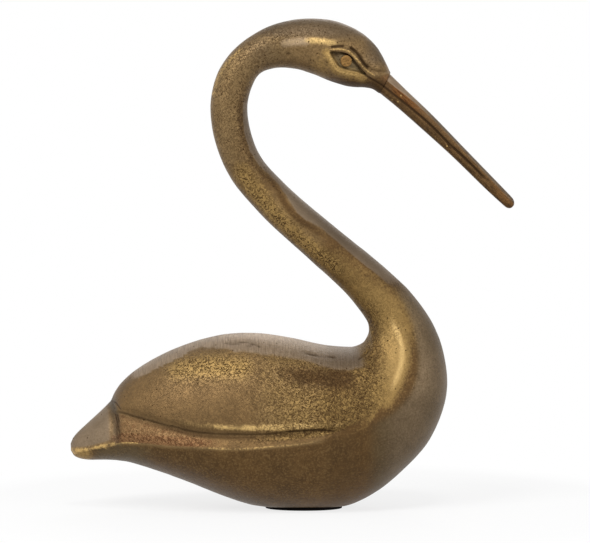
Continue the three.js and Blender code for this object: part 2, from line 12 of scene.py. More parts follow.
import bpy
import numpy as np
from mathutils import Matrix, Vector


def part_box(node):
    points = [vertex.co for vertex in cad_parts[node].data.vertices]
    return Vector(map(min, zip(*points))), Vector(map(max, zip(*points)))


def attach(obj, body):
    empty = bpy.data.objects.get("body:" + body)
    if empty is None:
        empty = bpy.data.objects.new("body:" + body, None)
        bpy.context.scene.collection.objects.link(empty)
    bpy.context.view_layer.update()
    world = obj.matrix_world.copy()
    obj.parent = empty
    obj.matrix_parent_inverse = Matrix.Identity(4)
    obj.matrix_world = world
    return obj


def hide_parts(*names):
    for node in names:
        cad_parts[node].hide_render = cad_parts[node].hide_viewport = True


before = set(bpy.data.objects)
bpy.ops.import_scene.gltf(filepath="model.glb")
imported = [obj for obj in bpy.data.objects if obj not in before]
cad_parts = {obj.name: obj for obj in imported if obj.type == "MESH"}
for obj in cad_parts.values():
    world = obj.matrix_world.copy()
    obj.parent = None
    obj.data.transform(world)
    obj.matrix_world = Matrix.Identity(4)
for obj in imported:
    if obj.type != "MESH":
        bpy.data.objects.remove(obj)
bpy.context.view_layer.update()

MM = 0.001
BODY = "root"
scene = bpy.context.scene
print("pieces of the construction:", sorted(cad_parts))

# %% [markdown]
# ## The camera
#
# The photograph looks at the bird's right side from far off and from a little above, so near and far parts keep
# their true proportions. A long lens from two and a half metres does the same.

# %% Camera
PICTURE_WIDTH = 590
SENSOR_WIDTH = 36.0
PIXELS_PER_METRE = 2416.7
CAMERA_DISTANCE = 2.5
CAMERA_HEIGHT_ANGLE = math.radians(5.0)
AIM = Vector((-0.00234, 0.0, 0.09846))

camera_data = bpy.data.cameras.new("camera")
camera_data.sensor_width = SENSOR_WIDTH
camera_data.lens = PIXELS_PER_METRE * CAMERA_DISTANCE * SENSOR_WIDTH / PICTURE_WIDTH
camera_data.clip_end = 20.0
camera = bpy.data.objects.new("camera", camera_data)
scene.collection.objects.link(camera)
back_off = Vector((0.0, -math.cos(CAMERA_HEIGHT_ANGLE), math.sin(CAMERA_HEIGHT_ANGLE)))
camera.location = AIM + back_off * CAMERA_DISTANCE
camera.rotation_euler = (math.radians(90.0) - CAMERA_HEIGHT_ANGLE, 0.0, 0.0)
scene.camera = camera
print("camera lens, mm:", round(camera_data.lens, 1))

# %% [markdown]
# ## Node helpers
#
# A procedural material is a chain of small nodes. These helpers make the nodes, so that each chain stays readable.
# A socket is given either a plain value or the output of another node.

# %% Node helpers


def start_material(name):
    """A new material with its node tree, its shader and its Object coordinates."""
    material = bpy.data.materials.new(name)
    material.use_nodes = True
    tree = material.node_tree
    place = tree.nodes.new("ShaderNodeTexCoord").outputs["Object"]
    return material, tree, tree.nodes["Principled BSDF"], place


def fill(tree, socket, value):
    """Connects a socket, or sets its value."""
    if isinstance(value, bpy.types.NodeSocket):
        tree.links.new(value, socket)
    else:
        socket.default_value = value


def make(tree, kind, sockets, output=0, **settings):
    """The output of a new node with these settings and these filled sockets."""
    node = tree.nodes.new(kind)
    for setting, value in settings.items():
        setattr(node, setting, value)
    for socket, value in sockets.items():
        fill(tree, node.inputs[socket], value)
    return node.outputs[output]


def calc(tree, operation, first, second=0.0, clamp=False):
    return make(tree, "ShaderNodeMath", {0: first, 1: second}, operation=operation, use_clamp=clamp)


def times(tree, first, second):
    return calc(tree, "MULTIPLY", first, second)


def noise(tree, place, size, detail=3.0, roughness=0.55, distortion=0.0):
    """Soft noise with features of about this size, in metres."""
    sockets = {"Vector": place, "Scale": 1.0 / size, "Detail": detail, "Roughness": roughness,
               "Distortion": distortion}
    return make(tree, "ShaderNodeTexNoise", sockets, "Fac")


def ramp(tree, value, low, high):
    """0 below low, 1 above high and smooth between."""
    sockets = {"Value": value, "From Min": low, "From Max": high}
    return make(tree, "ShaderNodeMapRange", sockets, "Result", interpolation_type="SMOOTHSTEP")


def blend(tree, share, first, second, data_type="RGBA"):
    """A colour between first and second, or with FLOAT a number."""
    return make(tree, "ShaderNodeMix", {"Factor": share, "A": first, "B": second}, "Result", data_type=data_type)


def painted(tree, name):
    """The value of a painted attribute of the piece."""
    return make(tree, "ShaderNodeAttribute", {}, "Fac", attribute_name=name)


def srgb(red, green, blue):
    """A colour as it is seen on a screen, 0 to 255, in the linear values that nodes use."""
    return tuple((c / 255.0) ** 2.2 for c in (red, green, blue)) + (1.0,)


print("helpers ready")

# %% [markdown]
# ## The stage
#
# The bird stands in an even white studio. The floor and the world are white to the camera and to reflections.
# Close to the bird the floor also shows the lamps' soft shadow, so that the bird stands on it and doesn't float.
# Further out it fades into plain white, and no horizon shows.

# %% Floor and surroundings
FLOOR_SIZE = 8.0
SHADOW_CATCH = 0.22
SHADOW_REACH = (0.06, 0.17)


def seen_ray(tree):
    """1 for rays that the camera, a reflection or a clear piece sends out."""
    rays = tree.nodes.new("ShaderNodeLightPath").outputs
    seen = calc(tree, "MAXIMUM", rays["Is Camera Ray"], rays["Is Glossy Ray"])
    return calc(tree, "MAXIMUM", seen, rays["Is Transmission Ray"])


def floor_material():
    material, tree, shader, place = start_material("studio_floor")
    shader.inputs["Base Color"].default_value = (1.0, 1.0, 1.0, 1.0)
    shader.inputs["Roughness"].default_value = 0.9
    shader.inputs["Specular IOR Level"].default_value = 0.0
    away = make(tree, "ShaderNodeVectorMath", {0: place}, "Value", operation="LENGTH")
    plain = ramp(tree, away, *SHADOW_REACH)
    share = calc(tree, "MAXIMUM", plain, 1.0 - SHADOW_CATCH)
    white = make(tree, "ShaderNodeEmission", {})
    sockets = {"Fac": times(tree, share, seen_ray(tree)), 1: shader.outputs["BSDF"], 2: white}
    mixed = make(tree, "ShaderNodeMixShader", sockets)
    fill(tree, tree.nodes["Material Output"].inputs["Surface"], mixed)
    return material


bpy.ops.object.select_all(action="DESELECT")
bpy.ops.mesh.primitive_plane_add(size=FLOOR_SIZE, location=(0.0, 0.0, 0.0))
floor = bpy.context.object
floor.name = "studio_floor"
floor.data.materials.append(floor_material())

WORLD_LIGHT = 0.42
world = bpy.data.worlds.new("studio")
world.use_nodes = True
scene.world = world
sky = world.node_tree.nodes["Background"]
sky.inputs["Color"].default_value = (1.0, 1.0, 1.0, 1.0)
level = times(world.node_tree, seen_ray(world.node_tree), 1.0 - WORLD_LIGHT)
fill(world.node_tree, sky.inputs["Strength"], calc(world.node_tree, "ADD", level, WORLD_LIGHT))
scene.view_settings.view_transform = "Standard"
print("floor and world ready")

# %% [markdown]
# ## The lamps
#
# In the photograph each form has its highlight on the upper left. So the main lamp is large, high and to the left of
# the camera, and a small one still higher sharpens the highlights. A weaker one from the right keeps the bill and
# the breast readable, and one from behind draws the back line.

# %% Lamps
# Each lamp: its place and the length of its side in metres, and its power in watts
LAMPS = {
    "main_lamp": ((-0.75, -0.95, 1.05), 0.7, 10.5),
    "high_lamp": ((0.05, -0.85, 1.55), 0.32, 4.5),
    "right_lamp": ((1.1, -0.9, 0.5), 0.7, 4.8),
    "back_lamp": ((0.2, 1.2, 0.9), 0.6, 3.0),
}


def soft_lamp(name, place, size, power):
    """A square lamp that points at the middle of the bird."""
    data = bpy.data.lights.new(name, "AREA")
    data.shape = "SQUARE"
    data.size = size
    data.energy = power
    lamp = bpy.data.objects.new(name, data)
    lamp.location = place
    lamp.rotation_euler = (AIM - Vector(place)).to_track_quat("-Z", "Y").to_euler()
    scene.collection.objects.link(lamp)


for lamp_name, lamp_values in LAMPS.items():
    soft_lamp(lamp_name, *lamp_values)
print("lamps ready:", len(LAMPS))

# %% [markdown]
# ## The castings: from facets to a smooth skin
#
# The construction has each half as flat facets. Subdivision turns them into one smooth skin. A copy of the half is
# merged, its pairs of triangles become four-sided faces again, and the edges of the joint and of the drilled holes
# are creased so that they stay sharp. Subdivision keeps the shape where it is, and so
# the skin stays close to the construction. Modelling the bird anew from a primitive would drift away from it.

# %% Castings
# How often each kind of piece is subdivided, and the angle from which on its edges stay sharp
SKIN_LEVELS, SKIN_SHARP = 2, math.radians(55)
STUD_LEVELS, STUD_SHARP = 2, math.radians(40)
BILL_LEVELS, BILL_SHARP = 3, math.radians(60)
# How far two triangles may differ in direction and in shape and still become one four-sided face
QUAD_BEND, QUAD_SHAPE = math.radians(50), math.radians(80)
SAME_POINT = 0.002 * MM


def only(piece):
    """Selects this piece alone and makes it active."""
    bpy.ops.object.select_all(action="DESELECT")
    piece.select_set(True)
    bpy.context.view_layer.objects.active = piece


def copy_of(node, name):
    """A new object with a copy of a node's mesh."""
    piece = bpy.data.objects.new(name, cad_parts[node].data.copy())
    piece.data.materials.clear()
    scene.collection.objects.link(piece)
    return piece


def smooth_skin(piece, levels, sharp_angle):
    """Merges the loose triangles, joins them to four-sided faces, creases the sharp edges and subdivides."""
    only(piece)
    bpy.ops.object.mode_set(mode="EDIT")
    bpy.ops.mesh.select_mode(type="EDGE")
    bpy.ops.mesh.select_all(action="SELECT")
    bpy.ops.mesh.remove_doubles(threshold=SAME_POINT)
    bpy.ops.mesh.tris_convert_to_quads(face_threshold=QUAD_BEND, shape_threshold=QUAD_SHAPE)
    bpy.ops.mesh.select_all(action="DESELECT")
    bpy.ops.mesh.edges_select_sharp(sharpness=sharp_angle)
    bpy.ops.transform.edge_crease(value=1.0)
    bpy.ops.object.mode_set(mode="OBJECT")
    skin = piece.modifiers.new("skin", "SUBSURF")
    skin.levels = levels
    skin.render_levels = levels
    bpy.ops.object.modifier_apply(modifier=skin.name)
    return piece


# Each side, and what turns its points so that y counts outwards from the centre plane
SIDES = {"right": np.array([1.0, -1.0, 1.0]), "left": np.array([1.0, 1.0, 1.0])}
castings = {}
studs = {}
for side in SIDES:
    castings[side] = smooth_skin(copy_of(side + "_half", side + "_casting"), SKIN_LEVELS, SKIN_SHARP)
    studs[side] = smooth_skin(copy_of(side + "_eye_stud", side + "_eye"), STUD_LEVELS, STUD_SHARP)
bill = smooth_skin(copy_of("bill", "solid_bill"), BILL_LEVELS, BILL_SHARP)
print("faces of a casting, an eye and the bill:",
      [len(piece.data.polygons) for piece in (castings["right"], studs["right"], bill)])

# %% [markdown]
# ## The lines of the carving
#
# The maker cut lines into the pattern for the casting: the groove below the wing, the edge between flank and hull,
# the crease before the tail, the recess of the eye with its brow, and the mouth. Each line is a short row of
# points on the skin, in millimetres, read off the photograph, and cutting its corners makes a soft curve of it. Both
# halves use the same lines, with y as the distance from the centre plane. A line on a flat side has only x and z.

# %% Carving lines


def curve(*points, rounds=2):
    """A smooth line along these points, made by cutting its corners."""
    line = np.array(points, dtype=float)
    for _ in range(rounds):
        near = line[:-1] * 0.75 + line[1:] * 0.25
        far = line[:-1] * 0.25 + line[1:] * 0.75
        middle = np.stack([near, far], 1).reshape(-1, line.shape[1])
        line = np.vstack([line[:1], middle, line[-1:]])
    return line


def near_line(points, line):
    """Distance of each point from the line, with its sign (plus is above), and its place along the line."""
    if line.shape[1] == 2:
        points = points[:, [0, 2]]
    nearest = np.full(len(points), 1e9)
    above = np.ones(len(points))
    along = np.zeros(len(points))
    travelled = 0
    for start, end in zip(line[:-1], line[1:]):
        span = end - start
        length = np.linalg.norm(span)
        share = np.clip((points - start) @ span / length ** 2, 0, 1)
        gap = points - start - share[:, None] * span
        distance = np.linalg.norm(gap, axis=1)
        closer = distance < nearest
        nearest[closer] = distance[closer]
        above[closer] = np.where(span[0] * gap[closer, -1] - span[-1] * gap[closer, 0] < 0, -1, 1)
        along[closer] = travelled + share[closer] * length
        travelled += length
    return nearest, above, along, travelled


def step(value, low, high):
    """0 up to low, 1 from high on, and smooth between. It falls where low is above high."""
    share = np.clip((value - low) / (high - low), 0, 1)
    return share * share * (3 - 2 * share)


def bell(distance, width):
    return np.exp(-(distance / width) ** 2)


def beside(points, line, width):
    """1 on the line and less to both sides of it."""
    return bell(near_line(points, line)[0], width)


def spot(points, x, z, reach):
    """1 at this place in side view and less round it."""
    return bell(np.hypot(points[:, 0] - x, points[:, 2] - z), reach)


def both_ends(along, length, fade_in, fade_out):
    """1 along a line and less near its two ends."""
    return step(along, 0, fade_in) * step(length - along, 0, fade_out)


WING_GROOVE = curve(
    (-76.4, 10.2, 41.4), (-73, 13.1, 40.9), (-68, 15.9, 39.7), (-60.5, 19.6, 37.9), (-51.3, 22.8, 36.2),
    (-44.3, 25, 34.5), (-35.2, 26.9, 34), (-24.1, 28.6, 33.8), (-12.7, 29.7, 34.2), (-1.2, 29.8, 35.2),
    (7.4, 30.1, 35.8), (13, 29.6, 35.3), (18.1, 29.4, 34.9))
WING_LIP = curve(
    (-75.5, 10.7, 43.2), (-67.1, 16.4, 41.7), (-57.9, 21.4, 40.1), (-47.6, 25.4, 38.2), (-35.2, 28.4, 36.9),
    (-24.1, 30.1, 36.5), (-12.6, 30.9, 36.8), (-1.2, 30.9, 37.6), (9, 30.4, 37.6), (17, 29.7, 37.9), (23, 28.6, 40))
CHINE = curve(
    (-94.5, 2.3, 23.9), (-88.5, 8.3, 25), (-83, 11.4, 27.4), (-77.1, 14.5, 28.2), (-73.5, 16.3, 29),
    (-67.1, 19.3, 29.2), (-55, 24.3, 28.5), (-44.3, 27.2, 28.4), (-29.9, 30.2, 28), (-24.1, 30.9, 28.1),
    (-12.6, 31.7, 29), (-1.2, 31.8, 30.2), (4.6, 31.6, 31), (13.2, 30.5, 33), (19, 29.7, 34.4))
TAIL_EDGE = curve(
    (-94.9, 1.2, 24.2), (-91.5, 5.8, 24.4), (-87.4, 9, 25.2), (-82, 12.2, 27.2), (-76.5, 14.8, 28.6))
WING_CRACK = curve((-10, 30.2, 35), (-0.3, 30.2, 35.4), (6, 30.1, 35.9), (11, 29.9, 35.6), (18, 29.4, 34.9))
HULL_LINE = curve(
    (-94.5, 23.9), (-88.5, 25), (-83, 27.4), (-77.1, 28.2), (-73.5, 29), (-67.1, 29.2), (-55, 28.5), (-44.3, 28.4),
    (-29.9, 28), (-12.6, 29), (-1.2, 30.2), (4.6, 31), (13.8, 32.4), (19.1, 34.9), (27.8, 38.9), (33.1, 42),
    (39.7, 47), (44.3, 53.3), (45.9, 63), (44.7, 71.2), (41.5, 82), (36, 91), (28, 99))
TAIL_STROKES = [
    curve((-76.9, 41), (-76.1, 37.5), (-75, 33.8), (-74.4, 30.5)),
    curve((-76.1, 41), (-75.4, 38.9), (-74.8, 35.8)),
    curve((-78.4, 44.6), (-76.6, 45.1), (-75, 43.3), (-73.9, 41.6)),
    curve((-77.8, 42.9), (-75.8, 42))]
TAIL_LINE = curve((-76.2, 28.3), (-71.6, 29.3), (-67.1, 29.1))
TAIL_CREASE = curve(
    (-79.1, 0, 45.3), (-77.5, 6, 44.3), (-75.9, 11.4, 37.8), (-75.9, 13.4, 32.2), (-75.4, 15.3, 28.9))
BACK_BAND = curve(
    (-72.7, 6.2, 51.8), (-62.3, 10.3, 57.6), (-49.9, 9, 64.2), (-41.6, 9.5, 67.9), (-31.3, 13.5, 67.9),
    (-20.9, 16.6, 66.6), (-8.6, 17.6, 65), (-0.3, 17.3, 64.2), (12, 19.4, 60.2), (20.2, 19.8, 59.5), (29.3, 18.6, 61))
THROAT_BAND = curve(
    (-23.2, 3.9, 173), (-23.8, 3.9, 165), (-23.4, 3.9, 157), (-21.4, 4.4, 149.5), (-16.8, 5.4, 142.6),
    (-9.2, 4.5, 135.5), (-6.3, 6.3, 130.2), (-1.2, 7.4, 123.4), (6.5, 7, 118.3),
    (13.3, 7, 112.9), (22, 7.2, 105.9), (30, 7.4, 99), (41, 7.7, 90.2))
NECK_ARRIS = curve((26.5, 1.5, 78), (29.4, 6.3, 73.2), (30.2, 9.3, 70.8), (30.2, 11.7, 68.2), (29.7, 15, 64.8))
# The hollow below the back band, cut in and given painted shade
BAND_HOLLOW = curve((-27, 21.5, 60), (-12.7, 23.2, 59.2), (-0.3, 23.6, 58), (14, 23.2, 56.5), (29, 22.4, 56.4))
LEAF_MARK = curve((-32.5, 10.6, 69.7), (-28, 10.2, 70.7), (-23, 11.1, 70.4), (-19, 12.6, 69.6), (-15.6, 14.6, 68))
LEAF_VEIN = curve((-31, 11.4, 69.4), (-24, 12.6, 69.5), (-18, 14.8, 68.2))
SLIT = curve((-2.8, 14.7, 66.4), (3.8, 14, 65.5), (10, 13.2, 64.8), (15.3, 13.8, 64))
NICK = curve((23.1, 15.6, 63.2), (26.5, 13.7, 65), (28.5, 11.4, 67.3))
BREAST_CRACKS = [
    curve((32.7, 37.5), (36.9, 38.6), (39.7, 39), (42.6, 39.3), (45.1, 38.7)),
    curve((27.8, 34), (31.1, 33.9), (34.8, 32.6))]
WING_MARKS = [curve((-17.6, 22.3, 60.1), (-14.3, 22.9, 59.4)), curve((-5.7, 27.3, 51.2), (-2.8, 27.6, 50.4))]
TAIL_SCRATCH = curve((-88.1, 6.5, 30.6), (-86, 6.8, 32.9), (-83.9, 7.3, 34.9))
NECK_GOLD = curve(
    (-24, 6.5, 140), (-18.9, 7.2, 131.9), (-12.7, 7.1, 124.5),
    (-4.5, 6.6, 115.3), (4.6, 7.2, 107.9), (14.1, 7.8, 100.5))
NECK_RIDGE = curve((-17.5, 7, 139), (-16, 7.7, 135.3), (-11.9, 8, 128.7), (-7.8, 8.1, 124.6))
# The line of the breast's painted highlight
BREAST_STREAK = curve(
    (36.5, 10, 83), (38, 12.1, 77.7), (40.5, 13.6, 73.3), (41.9, 15.6, 67.3),
    (41.6, 17.3, 62.5), (40.0, 19.6, 57.4), (37.2, 22.2, 51.5), (34.6, 24, 47.6))
# The wing's golden patch, partly painted light
WING_GOLD = curve((-50, 16.5, 61), (-38, 19, 61.5), (-25, 21.5, 61))
# The crown's painted highlight, also cut as a low ridge
CROWN_LIGHT = curve((-2, 8.5, 194.4), (5, 9, 194.6), (9, 9.1, 194.2), (13.6, 9.1, 193.6), (18.5, 9, 192.8))
# A warm tone on the foot of the neck, partly painted light
NECK_WARM = curve((14, 100), (22, 95), (29, 89.5), (35, 82.5), (38, 75))
# The neck's painted sheen, and the painted highlight along its rim
NECK_SHEEN = curve((-33.7, 175.1), (-30.8, 180), (-26.7, 184.6), (-22.1, 187.9))
NECK_RIM = curve((-36.2, 171.5), (-35.3, 176), (-33.3, 181), (-30, 185.5), (-25, 190.4))
NECK_DENT = curve((-6.3, 189.1), (-4.1, 188.4))
# The crown's pale painted highlight
CROWN_PALE = curve((-10, 7.8, 192.4), (-4.5, 8.4, 193.9), (5.8, 9.1, 194.3))

BROW_REAR = curve((11.6, 191.6), (14.5, 192.2), (18.6, 192.2))
BROW_FRONT = curve(
    (19.6, 191.9), (21.6, 190.9), (23.2, 189.5), (24.5, 187.7), (25.8, 185.4), (27.2, 183.7), (29.2, 182.8))
BROW_END = curve((27.6, 183.4), (29.6, 182.2), (32.4, 181.6), (35, 181.8))
LID = curve(
    (11.6, 191), (15.5, 191.1), (19.2, 190.7), (21.5, 188.8), (23.8, 186), (26.3, 182.9), (29, 180.8), (32, 178.8))
RECESS_RIM = curve(
    (10.6, 189.6), (12.4, 186.8), (13.4, 184), (15.4, 182), (18.4, 181), (22.4, 180.4), (25.4, 178.8))
RECESS_UPPER = [
    (11.4, 190.2), (14.5, 190), (18.4, 189.7), (20.9, 188.2), (22.5, 186), (24.5, 183.5),
    (26.4, 181.4), (27.8, 179.9)]
RECESS_LOWER = [(25.6, 180), (22.4, 181.5), (18.3, 182.1), (15.2, 183.2), (13.8, 185.6), (12.4, 188.2)]
HEAD_MOUTH = curve((25.5, 180.9), (28.9, 178.6), (32.6, 176.3), (36, 174))
FOREHEAD_STEP = curve((36.3, 182.1), (34.7, 181.5), (32.6, 181.3), (30.1, 181.9), (28.3, 183.4))
MOUTH = curve(
    (30, 178), (32.6, 176.5), (34.8, 174.8), (41.2, 169.8), (47.5, 164.7), (53.4, 159.6), (59.9, 152.9),
    (61.7, 150.9), (64.2, 149), (69.9, 143.6), (74, 139.3), (79, 134.1))
MOUTH_HOOK = curve((60.6, 152), (61, 150.2), (62.6, 149.4))
BILL_FACET = curve(
    (36.4, 177.1), (39.3, 174.7), (42.2, 172.6), (47.9, 168), (57.5, 158.9), (69.9, 146), (78.2, 137.3), (86, 129))

# Each cut: its line, half its width, its depth (a ridge has a minus) and how far it fades out at either end, all
# in mm, and how dark the dirt in a groove is or how golden a ridge, from 0 for no paint to 1
CUTS = [
    (WING_GROOVE, 0.7, 0.4, 2, 12, 0.7),
    (WING_CRACK, 0.33, 0.4, 6, 7, 0.9),
    (WING_LIP, 1.3, -0.22, 20, 14, 0),
    (CHINE, 0.6, -0.12, 1, 14, 0),
    (TAIL_CREASE, 0.9, 0.1, 0.5, 0.8, 0.45),
    *[(line, 0.36, 0.24, 1.2, 1.5, 0.7) for line in TAIL_STROKES],
    (NECK_ARRIS, 1.3, -0.35, 3, 4, 0),
    (BAND_HOLLOW, 4.2, 0.45, 9, 7, 0),
    (LEAF_MARK, 0.6, 0.22, 1.5, 2, 0.75),
    (LEAF_VEIN, 0.45, 0.15, 1.5, 2, 0.55),
    (SLIT, 0.42, 0.35, 1, 2, 0.85),
    (NICK, 0.55, 0.3, 1, 1.5, 0.75),
    (BREAST_CRACKS[0], 0.35, 0.2, 4, 3, 0.6),
    (BREAST_CRACKS[1], 0.35, 0.12, 2, 3, 0.35),
    (NECK_DENT, 0.7, 0.45, 0.5, 0.5, 0.45),
    (CROWN_LIGHT, 1.5, -0.2, 6, 6, 0),
    *[(line, 0.5, 0.15, 0.5, 0.5, 0.5) for line in WING_MARKS],
    (TAIL_SCRATCH, 0.25, 0.08, 1, 1, 0.3),
    (BROW_REAR, 0.5, 0.45, 1.5, 1.2, 1),
    (BROW_FRONT, 0.58, 0.85, 1.2, 2, 1),
    (BROW_END, 0.5, 0.3, 1.5, 2, 0.55),
    (LID, 0.42, -0.42, 2, 3.5, 0.65),
    (RECESS_RIM, 0.8, -0.2, 1.5, 2.5, 0.55),
    (HEAD_MOUTH, 0.45, 0.35, 1.5, 0.1, 0.85),
]
print("carving lines:", len(CUTS))

# %% [markdown]
# ## Finer faces where the carving is fine
#
# The lines on the head are less than a millimetre wide, so the faces there have to be smaller still. Cutting each
# face in four only near the lines keeps the piece light.

# %% Finer faces
# In mm: the fine part of the head in x and z, how far out its side lies, and the dent behind it
HEAD_LOW, HEAD_HIGH = (8.5, 176), (36, 194)
HEAD_SIDE = 3.0
DENT_X, DENT_Z, DENT_REACH = -5.2, 188.8, 2.5
FINE_STRIPS = ((WING_GROOVE, 2.6), (WING_LIP, 2.0), (CHINE, 1.6), (TAIL_CREASE, 3.0))


def read(collection, field, width, kind=float):
    """One field of all vertices, faces or edges, as rows of numbers."""
    values = np.empty(len(collection) * width, dtype=kind)
    collection.foreach_get(field, values)
    return values.reshape(-1, width) if width > 1 else values


def refine(piece, turn, wanted):
    """Cuts in four the faces that look outwards and for which wanted(their middles in mm) is true."""
    mesh = piece.data
    middles = read(mesh.polygons, "center", 3) / MM * turn
    outwards = (read(mesh.polygons, "normal", 3) * turn)[:, 1] > 0.0
    only(piece)
    bpy.ops.object.mode_set(mode="EDIT")
    bpy.ops.mesh.select_mode(type="FACE")
    bpy.ops.mesh.select_all(action="DESELECT")
    bpy.ops.object.mode_set(mode="OBJECT")
    mesh.polygons.foreach_set("select", wanted(middles) & outwards)
    bpy.ops.object.mode_set(mode="EDIT")
    bpy.ops.mesh.subdivide(number_cuts=1)
    bpy.ops.object.mode_set(mode="OBJECT")


def near_carving(middles):
    """The head round the eye, the dent behind it, and strips along the lines of wing and tail."""
    x, y, z = middles.T
    head = (x > HEAD_LOW[0]) & (x < HEAD_HIGH[0]) & (z > HEAD_LOW[1]) & (z < HEAD_HIGH[1])
    head |= np.hypot(x - DENT_X, z - DENT_Z) < DENT_REACH
    fine = head & (y > HEAD_SIDE)
    for line, reach in FINE_STRIPS:
        fine |= near_line(middles, line)[0] < reach
    return fine


for side, turn in SIDES.items():
    refine(castings[side], turn, near_carving)
print("faces of a casting:", len(castings["right"].data.polygons))

# %% [markdown]
# ## Carving the skin
#
# Each point of the skin moves along the direction in which the skin faces: inwards in a groove, outwards on a ridge.
# The direction is averaged over the neighbours, so that a groove doesn't fold into itself. Points on the joint stay
# on the centre plane, and no point leaves the construction's box. The head's front rim is rounded a little. The
# recess of the eye comes first: it is sunk into a smooth surface that is laid through the skin round it.

# %% Carve
EYE_X, EYE_Z = 18.7, 186.1
RECESS_DEPTH = 1.45
LID_UNDERCUT = 0.35
# The width of the recess's steep wall under the lid and of its soft slope below
WALL_WIDTH, SLOPE_WIDTH = 0.45, 1.5
# Distances outside the recess: the ring of skin that its level is fitted to, and where the levelling fades out
RING_FAR, RING_NEAR = -7.5, -3.6
LEVEL_FADE = (-4.2, -3.0)
FLANK_DEPTH = 0.55
# A point of the face that the bill's root stands against, and the direction in which that face looks
ROOT_POINT = np.array([37.1, 0.0, 180.7])
ROOT_FACING = np.array([0.873, 0.0, -0.488])
RIM_ROUNDING = 0.3
# Where the cast skin is a little fuller than the construction: middle x and z, reach and height
FULLER = [(50.5, 26.5, 11.0, 0.95), (-1.0, 182.0, 6.0, 0.35)]
# How uneven the cast skin is: height and size of the waves in mm, and their seed
UNEVENNESS = [(0.045, 9, 1), (0.02, 3.4, 2)]
FACING_ROUNDS = 14


def outer_skin(mesh, turn):
    """The points in mm with y outwards, which of them are on the outer skin, and where the skin faces there."""
    points = read(mesh.vertices, "co", 3) / MM * turn
    face_normals = read(mesh.polygons, "normal", 3) * turn
    corners = read(mesh.loops, "vertex_index", 1, np.int32)
    corner_face = np.repeat(np.arange(len(face_normals)), read(mesh.polygons, "loop_total", 1, np.int32))
    weights = (read(mesh.polygons, "area", 1) * (face_normals[:, 1] > 0.002))[corner_face]
    facing = face_normals[corner_face] * weights[:, None]
    normals = np.stack([np.bincount(corners, facing[:, k], len(points)) for k in range(3)], 1)
    on_skin = np.bincount(corners, weights, len(points)) > 0.0
    edges = read(mesh.edges, "vertices", 2, np.int32)
    edges = edges[on_skin[edges].all(axis=1)]
    length = np.maximum(np.linalg.norm(normals, axis=1, keepdims=True), 1e-12)
    return points, on_skin, normals / length, edges


def averaged(values, edges, rounds):
    """The values of all points, each averaged with its neighbours this many times."""
    count = len(values)
    ends = np.concatenate([edges[:, 0], edges[:, 1]])
    others = np.concatenate([edges[:, 1], edges[:, 0]])
    neighbours = np.bincount(ends, minlength=count) + 1.0
    for _ in range(rounds):
        sums = np.stack([np.bincount(ends, values[others, k], count) for k in range(values.shape[1])], 1)
        values = (values + sums) / neighbours[:, None]
    return values


def inside_outline(points, outline):
    """How deep each point lies inside a closed outline in side view; minus outside."""
    nearest, _, along, _ = near_line(points, outline)
    x, z = points[:, 0], points[:, 2]
    within = np.zeros(len(points), dtype=bool)
    for (x0, z0), (x1, z1) in zip(outline[:-1], outline[1:]):
        if z0 != z1:
            crossed = (z0 > z) != (z1 > z)
            within ^= crossed & (x < x0 + (x1 - x0) * (z - z0) / (z1 - z0))
    return np.where(within, nearest, -nearest), along


def sink_recess(points, on_skin):
    """Levels the skin round the eye and sinks the recess into it."""
    upper = curve(*RECESS_UPPER)
    lower = curve(RECESS_UPPER[-1], *RECESS_LOWER, RECESS_UPPER[0])
    outline = np.vstack([upper, lower[1:]])
    upper_length = np.linalg.norm(np.diff(upper, axis=0), axis=1).sum()
    inside, along = inside_outline(points, outline)
    x, z = (points[:, 0] - EYE_X) / 10, (points[:, 2] - EYE_Z) / 10
    terms = np.stack([x ** i * z ** j for i in range(5) for j in range(5 - i)], 1)
    round_it = on_skin & (inside < RING_NEAR) & (inside > RING_FAR) & (points[:, 1] > HEAD_SIDE)
    fit = np.linalg.lstsq(terms[round_it], points[round_it, 1], rcond=None)[0]
    level = terms @ fit
    share = step(inside, *LEVEL_FADE) * on_skin
    points[:, 1] += share * (level - points[:, 1])
    under_lid = along < upper_length
    slope = np.where(under_lid, WALL_WIDTH, SLOPE_WIDTH)
    undercut = LID_UNDERCUT * bell(inside - 0.6, 0.4) * under_lid * (inside > 0)
    points[:, 1] -= (RECESS_DEPTH * step(inside, -0.1, slope) + undercut) * on_skin
    return inside


def waves(points, size, seed):
    """Gentle unevenness with waves of about this size, mostly from -1 to 1."""
    dice = np.random.default_rng(seed)
    total = np.zeros(len(points))
    for _ in range(9):
        direction = dice.normal(size=3)
        direction /= np.linalg.norm(direction) * dice.uniform(0.7, 1.4)
        total += np.sin(points @ direction * (2 * math.pi / size) + dice.uniform(0, 2 * math.pi))
    return total / 5


def cut_lines(points, cuts):
    """How far the cuts move each point outwards, and how far it lies in a groove or on a ridge, 0 to 1."""
    move = np.zeros(len(points))
    groove = np.zeros(len(points))
    ridge = np.zeros(len(points))
    for line, width, depth, fade_in, fade_out, paint_share in cuts:
        distance, _, along, length = near_line(points, line)
        close = distance < width * 4
        ends = both_ends(along, length, fade_in, fade_out)
        here = bell(distance, width) * ends * close
        move -= here * depth * (1 + 0.25 * waves(points, 2.6, 5) * (depth < 0))
        if width < 2:
            soft = bell(distance, width * 1.25) * ends * close
            if depth > 0:
                groove = np.maximum(groove, soft * paint_share)
            else:
                ridge = np.maximum(ridge, soft * paint_share)
    return move, groove, ridge


